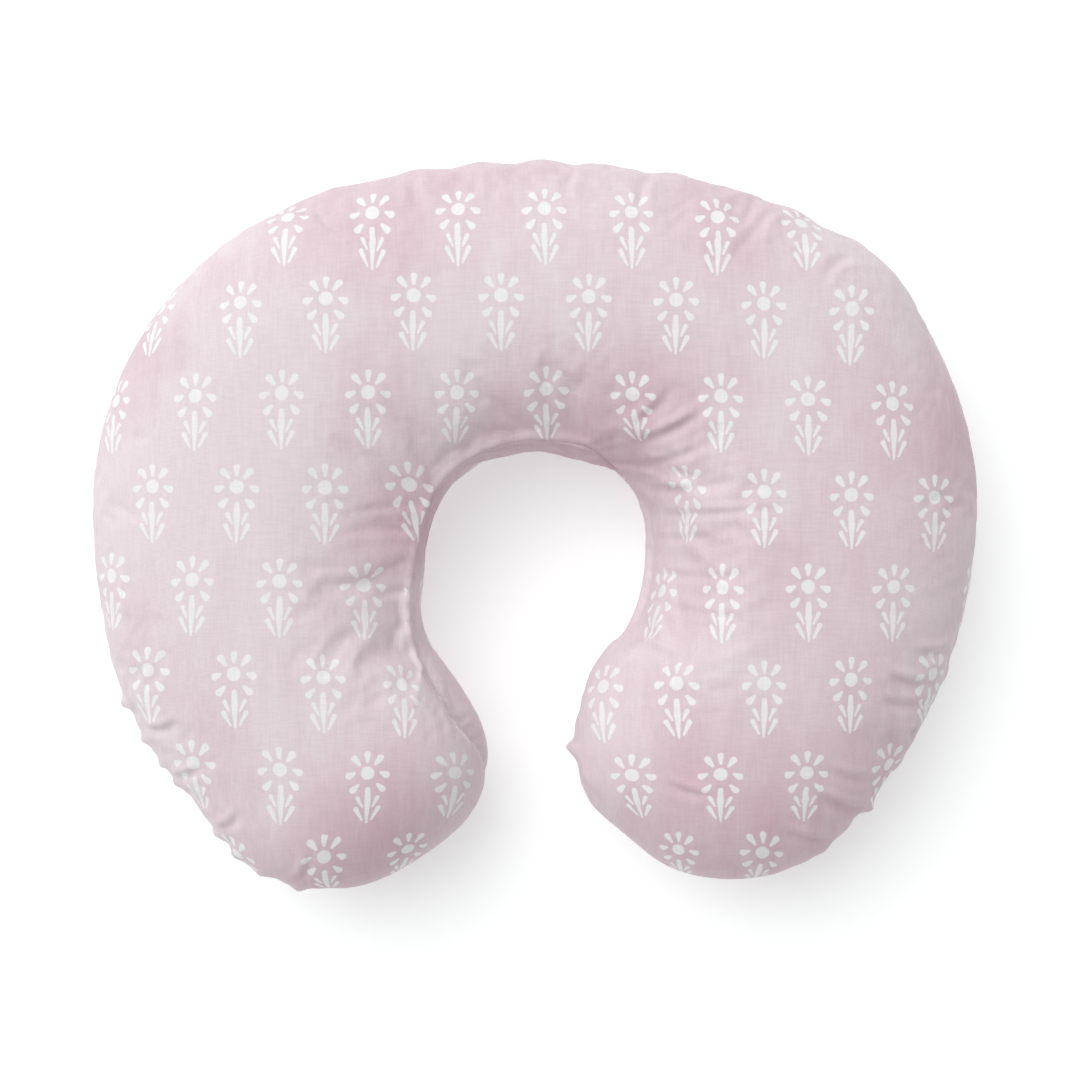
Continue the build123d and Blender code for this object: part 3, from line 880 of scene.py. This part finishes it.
def thread_stitch(start, end, outward, radius, sides=7, rings=9):
    """A short thread that rises from the cloth, crosses over and goes back in."""
    run = end - start
    across = np.cross(run, outward)
    across /= np.linalg.norm(across)
    points, faces = [], []
    for i in range(rings):
        share = i / (rings - 1)
        middle = start + run * share + outward * radius * (2.6 * math.sin(math.pi * share) - 1.2)
        for k in range(sides):
            angle = 2 * math.pi * k / sides + share * 2.5
            swell = radius * (1 + 0.12 * math.cos(3 * angle))
            points.append(middle + swell * (math.cos(angle) * outward + math.sin(angle) * across))
    for i in range(rings - 1):
        for k in range(sides):
            after = (k + 1) % sides
            faces.append([i * sides + k, i * sides + after, (i + 1) * sides + after, (i + 1) * sides + k])
    faces.append(list(range(sides))[::-1])
    faces.append([(rings - 1) * sides + k for k in range(sides)])
    return points, faces


# ================= Material helpers =================


def add(tree, kind, inputs=None, output=0, **settings):
    """Adds a shader node, links or sets its inputs, and returns one of its outputs."""
    made = tree.nodes.new("ShaderNode" + kind)
    for key, value in settings.items():
        setattr(made, key, value)
    for key, value in (inputs or {}).items():
        if isinstance(value, bpy.types.NodeSocket):
            tree.links.new(value, made.inputs[key])
        else:
            made.inputs[key].default_value = value
    return made.outputs[output]


def calc(tree, operation, a, b=0.0, c=0.0, clamp=False):
    return add(tree, "Math", {0: a, 1: b, 2: c}, operation=operation, use_clamp=clamp)


def vector(tree, operation, a, b=(0, 0, 0), output=0):
    return add(tree, "VectorMath", {0: a, 1: b}, output, operation=operation)


def mix(tree, share, a, b, blend="MIX"):
    """Mixes two colours."""
    return add(tree, "Mix", {0: share, 6: a, 7: b}, 2, data_type="RGBA", blend_type=blend)


def ramp(tree, value, low, high, to_low=0.0, to_high=1.0):
    """Maps low..high smoothly to to_low..to_high."""
    inputs = {"Value": value, 1: low, 2: high, 3: to_low, 4: to_high}
    return add(tree, "MapRange", inputs, interpolation_type="SMOOTHSTEP")


def noise_of(tree, place, scale, detail=3.0, roughness=0.5, stretch=(1, 1, 1), output=0):
    """Noise at a scale per metre, finer along axes with a larger stretch."""
    place = vector(tree, "MULTIPLY", place, stretch)
    inputs = {"Vector": place, "Scale": scale, "Detail": detail, "Roughness": roughness}
    return add(tree, "TexNoise", inputs, output)


def wave_of(tree, place, scale, distortion, direction, detail=1.0):
    """Even ribs at a scale per metre."""
    inputs = {"Vector": place, "Scale": scale, "Distortion": distortion, "Detail": detail}
    return add(tree, "TexWave", inputs, 1, bands_direction=direction)


def two_tones(tree, share, first, second):
    """Two colours, mixed over the middle of a noise's range."""
    return mix(tree, ramp(tree, share, 0.3, 0.7), (*first, 1), (*second, 1))


def bump(tree, height, strength, distance):
    return add(tree, "Bump", {"Height": height, "Strength": strength, "Distance": distance})


def material(name, **constants):
    """A material with its shader's constants set, its node tree and the object's own coordinates."""
    made = bpy.data.materials.new(name)
    made.use_nodes = True
    tree = made.node_tree
    for key, value in constants.items():
        tree.nodes["Principled BSDF"].inputs[key.replace("_", " ")].default_value = value
    return made, tree, add(tree, "TexCoord", output="Object")


def finished(made, colour, roughness, normal):
    """Links a material's colour, roughness and normal to its shader, and returns it."""
    shader = made.node_tree.nodes["Principled BSDF"]
    for key, value in (("Base Color", colour), ("Roughness", roughness), ("Normal", normal)):
        made.node_tree.links.new(value, shader.inputs[key])
    return made


def weave_height(tree, place, fineness=1.0):
    """Slubby threads along and across, added together."""
    warp = noise_of(tree, place, 900 * fineness, 2, stretch=(1.0, 0.08, 0.08))
    weft = noise_of(tree, place, 900 * fineness, 2, stretch=(0.08, 1.0, 1.0))
    return calc(tree, "ADD", warp, weft)


# ================= Print material =================

PALE_DYE = (0.80, 0.705, 0.735, 1)
# The deeper dye, which also colours the washes that are painted shade
DEEP_DYE_AND_PAINTED_SHADE = (0.655, 0.43, 0.505, 1)
PRINT_WHITE = (0.89, 0.885, 0.885, 1)

# One motif's strokes: from, to, and the radius at each end, in millimetres. Those off the axis are mirrored.
STROKES = [
    ((0, -0.1), (0, 0.1), 3.95, 3.95),
    ((0, 6.9), (0, 11.3), 0.95, 1.9),
    ((4.6, 5.2), (7.5, 8.9), 0.95, 2.1),
    ((7.9, -0.1), (10.7, -1.4), 1.05, 2.2),
    ((5.7, -7.4), (8.4, -10.3), 1.05, 2.1),
    ((0, -10.1), (0, -17.5), 1.5, 1.9),
    ((0, -17.5), (0, -31.2), 1.9, 0.65),
    ((5.6, -15.6), (2.9, -21.2), 1.3, 0.6),
    ((6.4, -22.2), (2.7, -29.6), 1.45, 0.65),
]

# Deeper washes of the dye, or paler where the strength is negative: place and radius in mm, strength. Only
# some are dye. Others are painted shade, darker along the back edge, the right side and the lower front, and
# the negative ones are painted light, paler on the left.
DYE_AND_PAINTED_SHADING_WASHES = [
    ((-96, 72), 40, 0.40), ((28, 62), 60, 0.38), ((62, 56), 34, 0.18),
    ((86, 84), 32, 0.34), ((-75, 2), 34, 0.62), ((-180, 20), 90, -0.26),
    ((-150, 96), 50, -0.16), ((-236, 88), 40, 0.34), ((-90, 190), 60, 0.30),
    ((-8, 196), 44, 0.04), ((132, 178), 56, 0.30), ((95, -132), 50, 0.42),
    ((-90, -158), 46, 0.48), ((-105, -205), 46, 0.30), ((105, -205), 56, 0.38),
    ((175, -155), 60, 0.34), ((150, -48), 50, 0.22), ((185, 20), 100, 0.22),
    ((250, 48), 36, 0.20),
]


def stroke_group():
    """A node group: distance from a place to a stroke that tapers from one radius to another."""
    tree = bpy.data.node_groups.new("stroke", "ShaderNodeTree")
    for name in ("Place", "From", "To"):
        tree.interface.new_socket(name, in_out="INPUT", socket_type="NodeSocketVector")
    for name in ("From radius", "To radius"):
        tree.interface.new_socket(name, in_out="INPUT", socket_type="NodeSocketFloat")
    tree.interface.new_socket("Distance", in_out="OUTPUT", socket_type="NodeSocketFloat")
    given = tree.nodes.new("NodeGroupInput").outputs
    run = vector(tree, "SUBTRACT", given["To"], given["From"])
    away = vector(tree, "SUBTRACT", given["Place"], given["From"])
    along = vector(tree, "DOT_PRODUCT", away, run, "Value")
    square = vector(tree, "DOT_PRODUCT", run, run, "Value")
    share = calc(tree, "DIVIDE", along, square, clamp=True)
    nearest = add(tree, "VectorMath", {0: run, "Scale": share}, operation="SCALE")
    apart = vector(tree, "DISTANCE", away, nearest, "Value")
    taper = calc(tree, "SUBTRACT", given["To radius"], given["From radius"])
    radius = calc(tree, "MULTIPLY_ADD", share, taper, given["From radius"])
    out = tree.nodes.new("NodeGroupOutput")
    tree.links.new(calc(tree, "SUBTRACT", apart, radius), out.inputs["Distance"])
    return tree


def motif_mask(tree, place):
    """1 inside the printed motif, its edge a little uneven as if painted."""
    uv = add(tree, "UVMap", uv_map="print")
    for fineness, detail, amount in ((330, 2, 0.055), (26, 1, 0.21)):
        drift = noise_of(tree, place, fineness, detail, output=1)
        drift = vector(tree, "SUBTRACT", drift, (0.5, 0.5, 0.5))
        uv = vector(tree, "ADD", uv, add(tree, "VectorMath", {0: drift, "Scale": amount}, operation="SCALE"))
    split = tree.nodes.new("ShaderNodeSeparateXYZ")
    tree.links.new(uv, split.inputs[0])
    mirrored = calc(tree, "ABSOLUTE", split.outputs["X"])
    local = add(tree, "CombineXYZ", {"X": mirrored, "Y": split.outputs["Y"]})
    group = stroke_group()
    nearest = None
    for start, end, start_radius, end_radius in STROKES:
        stroke = tree.nodes.new("ShaderNodeGroup")
        stroke.node_tree = group
        tree.links.new(local, stroke.inputs["Place"])
        stroke.inputs["From"].default_value = (*(x * MM / UNIT for x in start), 0)
        stroke.inputs["To"].default_value = (*(x * MM / UNIT for x in end), 0)
        stroke.inputs["From radius"].default_value = start_radius * MM / UNIT
        stroke.inputs["To radius"].default_value = end_radius * MM / UNIT
        apart = stroke.outputs["Distance"]
        nearest = apart if nearest is None else calc(tree, "SMOOTH_MIN", nearest, apart, 0.01)
    return ramp(tree, nearest, 0.04, -0.045)


def dye_and_shading_share(tree, place):
    """How deep the watercolour dye is, with painted shading in it: soft blotches, faint upright streaks and
    the listed washes, some of which are painted shade and painted light.
    """
    broad = noise_of(tree, place, 9, 3, 0.55, stretch=(1, 0.8, 1))
    fine = noise_of(tree, place, 45, 5, 0.65, stretch=(1.2, 0.7, 1))
    streaks = noise_of(tree, place, 120, 3, 0.6, stretch=(1, 0.10, 0.10))
    share = calc(tree, "MULTIPLY_ADD", broad, 1.1, -0.44)
    share = calc(tree, "MULTIPLY_ADD", fine, 0.60, calc(tree, "SUBTRACT", share, 0.30))
    share = calc(tree, "MULTIPLY_ADD", streaks, 0.40, calc(tree, "SUBTRACT", share, 0.20))
    # The listed washes: some deepen the dye, others are painted shade and painted light
    for centre, radius, strength in DYE_AND_PAINTED_SHADING_WASHES:
        level = vector(tree, "MULTIPLY", place, (1, 1, 0))
        apart = vector(tree, "DISTANCE", level, (centre[0] * MM, centre[1] * MM, 0), "Value")
        dye_and_shading_wash = ramp(tree, apart, 1.5 * radius * MM, 0.1 * radius * MM, 0.0, strength)
        share = calc(tree, "ADD", share, dye_and_shading_wash)
    return add(tree, "Clamp", {"Value": share})


def cover_material():
    """Plain-woven cotton, dyed in washes, some of which are painted shade and painted light, and printed
    with the motifs.
    """
    constants = {"Sheen_Weight": 0.12, "Sheen_Roughness": 0.5, "Specular_IOR_Level": 0.25}
    made, tree, place = material("printed_cotton", **constants)
    # The ground's washes are partly dye and partly painted shade and painted light
    ground = mix(tree, dye_and_shading_share(tree, place), PALE_DYE, DEEP_DYE_AND_PAINTED_SHADE)
    weave = weave_height(tree, place)
    threads = ramp(tree, weave, 0.7, 1.3, 0.96, 1.025)
    specks = ramp(tree, noise_of(tree, place, 600, 3, 0.7), 0.60, 0.78, 0.0, 0.25)
    ground = mix(tree, specks, ground, PALE_DYE)
    patchy = ramp(tree, noise_of(tree, place, 420, 4, 0.7), 0.25, 0.45, 0.80, 0.97)
    printed = calc(tree, "MULTIPLY", motif_mask(tree, place), patchy)
    colour = mix(tree, printed, ground, PRINT_WHITE)
    threads = add(tree, "CombineColor", {0: threads, 1: threads, 2: threads})
    colour = mix(tree, 1.0, colour, threads, "MULTIPLY")
    roughness = ramp(tree, weave, 0.6, 1.4, 0.92, 0.80)
    return finished(made, colour, roughness, bump(tree, weave, 0.35, 0.25 * MM))


# ================= Other materials =================


def ticking_material():
    """The insert's plain white cotton twill."""
    made, tree, place = material("cotton_ticking", Sheen_Weight=0.08)
    twill = wave_of(tree, place, 260.0, 1.2, "DIAGONAL", 2.0)
    weave = calc(tree, "MULTIPLY_ADD", twill, 0.4, weave_height(tree, place, 1.2))
    colour = two_tones(tree, noise_of(tree, place, 40, 4), (0.80, 0.77, 0.71), (0.88, 0.86, 0.82))
    colour = mix(tree, ramp(tree, twill, 0.2, 0.8, 0.0, 0.25), colour, (0.72, 0.69, 0.64, 1))
    roughness = ramp(tree, weave, 0.6, 1.8, 0.95, 0.8)
    return finished(made, colour, roughness, bump(tree, weave, 0.4, 0.25 * MM))


def fill_material():
    """Siliconised polyester fibre, curled and bright."""
    made, tree, place = material("polyester_fibre", Sheen_Weight=0.3, Subsurface_Weight=0.15)
    curls = noise_of(tree, place, 260, 8, 0.75)
    tufts = noise_of(tree, place, 60, 4, 0.6)
    colour = two_tones(tree, tufts, (0.82, 0.83, 0.85), (0.93, 0.93, 0.93))
    height = calc(tree, "MULTIPLY_ADD", tufts, 1.6, curls)
    roughness = ramp(tree, curls, 0.2, 0.8, 0.9, 0.65)
    return finished(made, colour, roughness, bump(tree, height, 0.8, 1.2 * MM))


def tape_material():
    """Knitted zipper tape: fine ribs both ways."""
    made, tree, place = material("zipper_tape", Sheen_Weight=0.1)
    ribs = wave_of(tree, place, 420.0, 0.6, "X")
    rows = wave_of(tree, place, 260.0, 0.8, "Z")
    knit = calc(tree, "MULTIPLY", ribs, rows)
    colour = two_tones(tree, noise_of(tree, place, 150, 4), (0.70, 0.52, 0.58), (0.80, 0.64, 0.69))
    colour = mix(tree, ramp(tree, knit, 0.1, 0.7, 0.30, 0.0), colour, (0.50, 0.34, 0.40, 1))
    return finished(made, colour, ramp(tree, knit, 0, 1, 0.9, 0.7), bump(tree, knit, 0.5, 0.25 * MM))


def teeth_material():
    """Moulded polyacetal teeth, rubbed brighter in patches."""
    made, tree, place = material("zipper_teeth", IOR=1.48)
    rubbed = ramp(tree, noise_of(tree, place, 700, 4, 0.6, stretch=(0.2, 0.2, 1)), 0.35, 0.65)
    colour = mix(tree, rubbed, (0.78, 0.62, 0.67, 1), (0.86, 0.74, 0.78, 1))
    grain = noise_of(tree, place, 2500, 3)
    roughness = ramp(tree, rubbed, 0, 1, 0.48, 0.30)
    return finished(made, colour, roughness, bump(tree, grain, 0.15, 0.05 * MM))


def metal_material():
    """Nickel-plated zinc with fine scuffs and dull patches."""
    made, tree, place = material("nickel_plate", Metallic=1.0)
    scuffs = noise_of(tree, place, 900, 6, 0.7, stretch=(1, 0.1, 0.1))
    stains = noise_of(tree, place, 180, 4)
    colour = two_tones(tree, stains, (0.46, 0.455, 0.45), (0.62, 0.61, 0.595))
    dulled = ramp(tree, stains, 0.4, 0.8, 0.0, 0.1)
    roughness = calc(tree, "ADD", ramp(tree, scuffs, 0.3, 0.7, 0.20, 0.42), dulled)
    return finished(made, colour, roughness, bump(tree, scuffs, 0.2, 0.04 * MM))


def thread_material():
    """Twisted polyester thread."""
    made, tree, place = material("sewing_thread", Sheen_Weight=0.2)
    twist = wave_of(tree, place, 700.0, 0.8, "DIAGONAL")
    colour = two_tones(tree, noise_of(tree, place, 300, 3), (0.74, 0.58, 0.64), (0.84, 0.70, 0.75))
    colour = mix(tree, ramp(tree, twist, 0.0, 0.5, 0.35, 0.0), colour, (0.52, 0.38, 0.44, 1))
    return finished(made, colour, ramp(tree, twist, 0, 1, 0.75, 0.5), bump(tree, twist, 0.6, 0.12 * MM))


def label_material():
    """Woven satin ribbon, left blank."""
    made, tree, place = material("satin_label", Sheen_Weight=0.2)
    ribs = wave_of(tree, place, 500.0, 0.4, "Z")
    colour = two_tones(tree, noise_of(tree, place, 90, 4), (0.84, 0.84, 0.83), (0.91, 0.91, 0.90))
    return finished(made, colour, ramp(tree, ribs, 0, 1, 0.55, 0.38), bump(tree, ribs, 0.3, 0.1 * MM))


def floor_material():
    """Pale paper that glows a little, as an overexposed background does."""
    glow = {"Emission_Strength": 0.30, "Emission_Color": (1, 1, 1, 1)}
    made, tree, place = material("paper_floor", **glow)
    tone = ramp(tree, noise_of(tree, place, 4, 4), 0.2, 0.8)
    colour = mix(tree, tone, (0.865, 0.90, 0.895, 1), (0.895, 0.93, 0.925, 1))
    grain = noise_of(tree, place, 400, 3)
    return finished(made, colour, ramp(tree, grain, 0, 1, 0.95, 0.85), bump(tree, grain, 0.05, 0.1 * MM))


# ================= Build =================


def on_pillow(piece, finish, node):
    """Gives a piece its finish, attaches it to the pillow's body and hides the CAD node it stands for."""
    piece.data.materials.append(finish)
    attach(piece, "pillow")
    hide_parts(node)


rest, along, down, faces, kinds = cloth_surface()
soft = inflate(rest, along, down, faces)
hold = zipper_hold(along, seam_at(along) - down)
stretch = HALF_WIDTH / np.abs(soft[:, 0]).max() - 1
soft = soft * np.column_stack([1 + stretch * (1 - hold), np.ones((len(soft), 2))])
soft = pull(soft, hold)
soft[:, 2] = np.maximum(soft[:, 2], 0)

# The finer mesh of the cover, with its gathers, folds and seam
edges, edge_number, opposite = edge_table(faces)
fine_faces = finer_faces(faces, edge_number, len(soft))
fine_kinds = np.tile(kinds, 4)
fine_rest = finer_values(rest, edges)
fine_along = finer_values(along, edges, LOOP_LENGTH)
fine_down = finer_values(down, edges)
fine_rise = seam_at(fine_along) - fine_down
fine_hold = zipper_hold(fine_along, fine_rise)
cover = finer_points(soft, edges, opposite)
cover_normals = vertex_normals(cover, fine_faces)
relief = gather_height(fine_along, fine_down) + fold_height(cover, cover_normals)
cover += cover_normals * (relief * (1 - fine_hold))[:, None]
cover_normals = vertex_normals(cover, fine_faces)
cover += cover_normals * (seam_relief(fine_along, fine_rise) * (1 - fine_hold))[:, None]
cover[:, 2] = np.maximum(cover[:, 2], 0)
cover_normals = vertex_normals(cover, fine_faces)

cotton = cover_material()
rest_normals = vertex_normals(fine_rest, fine_faces)
lip_depth = 0.9 * MM - 0.3 * MM * fine_hold
for kind, side in enumerate(("top", "bottom")):
    own = fine_faces[fine_kinds == kind]
    uv = print_coordinates(fine_rest, rest_normals, own, flower_frames(upper=kind == 0))
    piece = panel("slipcover_" + side, cover, cover_normals, own, uv, lip_depth)
    on_pillow(piece, cotton, f"cover_{side}_panel")

# The raw edges inside the cover's seam, from one end of the zipper round to the other
on_cover = draper(fine_rest, cover)
sewing_thread = thread_material()
label_satin = label_material()
allowance_ends = ZIPPER_HALF_LENGTH + 5 * MM
ribbon = []
for x in np.arange(HALF_LENGTH + allowance_ends, LOOP_LENGTH + HALF_LENGTH - allowance_ends, 2.5 * MM):
    pinking = 0.35 * MM * math.sin(x * 2 * math.pi / (5 * MM) + 0.6)
    rises = np.array([-4 * MM - pinking, -2 * MM, 0, 2 * MM, 4 * MM + pinking])
    at = np.full(5, x % LOOP_LENGTH)
    ribbon.append(on_cover(layer_points(at, seam_at(at) + rises, 1.3 * MM)))
on_pillow(strip("slipcover_seam_edges", ribbon, 5, 0.7 * MM), cotton, "cover_seam_allowance")

label_along = ARC_STARTS[3] + np.array([-30 * MM, 0])
label_down = length_at_height(LEVEL + np.array([21 * MM, -21 * MM]))
care = patch("care_ribbon", on_cover, label_along, label_down, 2.2 * MM, 0.3 * MM)
on_pillow(care, label_satin, "care_label")

# The insert and what is sewn to it
insert = inner_layer(soft, faces, 6.5 * MM, 10, 3.2 * MM)
insert_normals = vertex_normals(insert, faces)
insert_rise = insert[:, 2] - LEVEL
insert -= insert_normals * (0.8 * MM * bell(insert_rise / (2 * MM)))[:, None]
ticking = ticking_material()
for side, cut in (("top", {"low": LEVEL}), ("bottom", {"high": LEVEL})):
    piece = cut_at("insert_casing_" + side, insert, faces, **cut)
    on_pillow(piece, ticking, f"insert_{side}_casing")

on_insert = draper(rest, insert)
ribbon = []
for x in np.arange(0, LOOP_LENGTH - 2 * MM, 4 * MM):
    downs = length_at_height(LEVEL + np.linspace(4, -4, 5) * MM)
    ribbon.append(on_insert(layer_points(x, downs, 0.9 * MM)))
edges_in = strip("insert_seam_edges", ribbon, 5, 0.7 * MM, closed=True)
on_pillow(edges_in, ticking, "insert_seam_allowance")

label_along = LOOP_LENGTH - ARC_STARTS[3] + np.array([0, 30 * MM])
label_down = length_at_height(LEVEL + np.array([3 * MM, -39 * MM]))
tag = patch("insert_ribbon", on_insert, label_along, label_down, -0.6 * MM, 0.3 * MM)
on_pillow(tag, label_satin, "insert_label")

points, stitch_faces = [], []
for i in range(32):
    x = ARC_STARTS[3] - (i + 0.5) * 4.5 * MM
    heights = LEVEL + np.array([2, -2]) * MM
    ends = layer_points(x + np.array([-0.9, 0.9]) * MM, length_at_height(heights), 0)
    start, end = on_insert(ends)
    outward = wall_normals(np.array([x]), length_at_height(np.array([LEVEL])))[0]
    made, made_faces = thread_stitch(start, end, outward, 0.28 * MM)
    stitch_faces += [[k + len(points) for k in face] for face in made_faces]
    points += made
closing = new_object("insert_hand_stitches", points, stitch_faces)
on_pillow(closing, sewing_thread, "insert_closing_stitches")

fluff = inner_layer(insert, faces, 2.6 * MM, 3, 2.0 * MM)
lumps = np.array([noise.fractal(Vector(p * 55), 0.8, 2.2, 4) for p in fluff])
fluff -= vertex_normals(fluff, faces) * ((0.8 + np.clip(lumps, -0.8, 1.2)) * 1.2 * MM)[:, None]
filling = new_object("fibre_filling", fluff, faces.tolist())
on_pillow(filling, fill_material(), "fiber_fill")

# The zipper keeps its CAD shapes
tape, teeth, metal = tape_material(), teeth_material(), metal_material()
ZIPPER_FINISHES = {
    "zipper_tape_upper": tape,
    "zipper_tape_lower": tape,
    "zipper_teeth_upper": teeth,
    "zipper_teeth_lower": teeth,
    "zipper_top_stops": metal,
    "zipper_bottom_stop": metal,
    "zipper_slider_body": metal,
    "zipper_pull_tab": metal,
    "zipper_topstitching": sewing_thread,
    "zipper_bartacks": sewing_thread,
}
for node, finish in ZIPPER_FINISHES.items():
    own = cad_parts[node].data.materials
    own.clear()
    own.append(finish)


# ================= Scene =================


def sun(name, towards, strength, spread):
    """A broad soft light from one side of the sky. spread is its width in degrees."""
    lamp = bpy.data.lights.new(name, "SUN")
    lamp.energy = strength
    lamp.angle = math.radians(spread)
    obj = bpy.data.objects.new(name, lamp)
    obj.rotation_euler = Vector(towards).to_track_quat("-Z", "Y").to_euler()
    bpy.context.scene.collection.objects.link(obj)


floor = mesh_object("floor", [(-9, -9, 0), (9, -9, 0), (9, 9, 0), (-9, 9, 0)], [(0, 1, 2, 3)])
floor.location.z = -0.2 * MM
floor.data.materials.append(floor_material())

sun("key", (0.45, -0.50, -1.0), 2.05, 60)

world = bpy.data.worlds.new("studio")
world.use_nodes = True
sky = world.node_tree.nodes["Background"].inputs
sky["Color"].default_value = (1, 1, 1, 1)
sky["Strength"].default_value = 0.395
bpy.context.scene.world = world
bpy.context.scene.view_settings.view_transform = "Standard"

# The camera looks straight down, with the photograph's width of the widest level in its frame
FRAME_WIDTH = 638.2 * MM
CAMERA_PLACE = (2.7 * MM, -7.4 * MM)
lens = bpy.data.cameras.new("camera")
lens.lens = 110
camera = bpy.data.objects.new("camera", lens)
camera.location = (*CAMERA_PLACE, LEVEL + FRAME_WIDTH * lens.lens / lens.sensor_width)
bpy.context.scene.collection.objects.link(camera)
bpy.context.scene.camera = camera
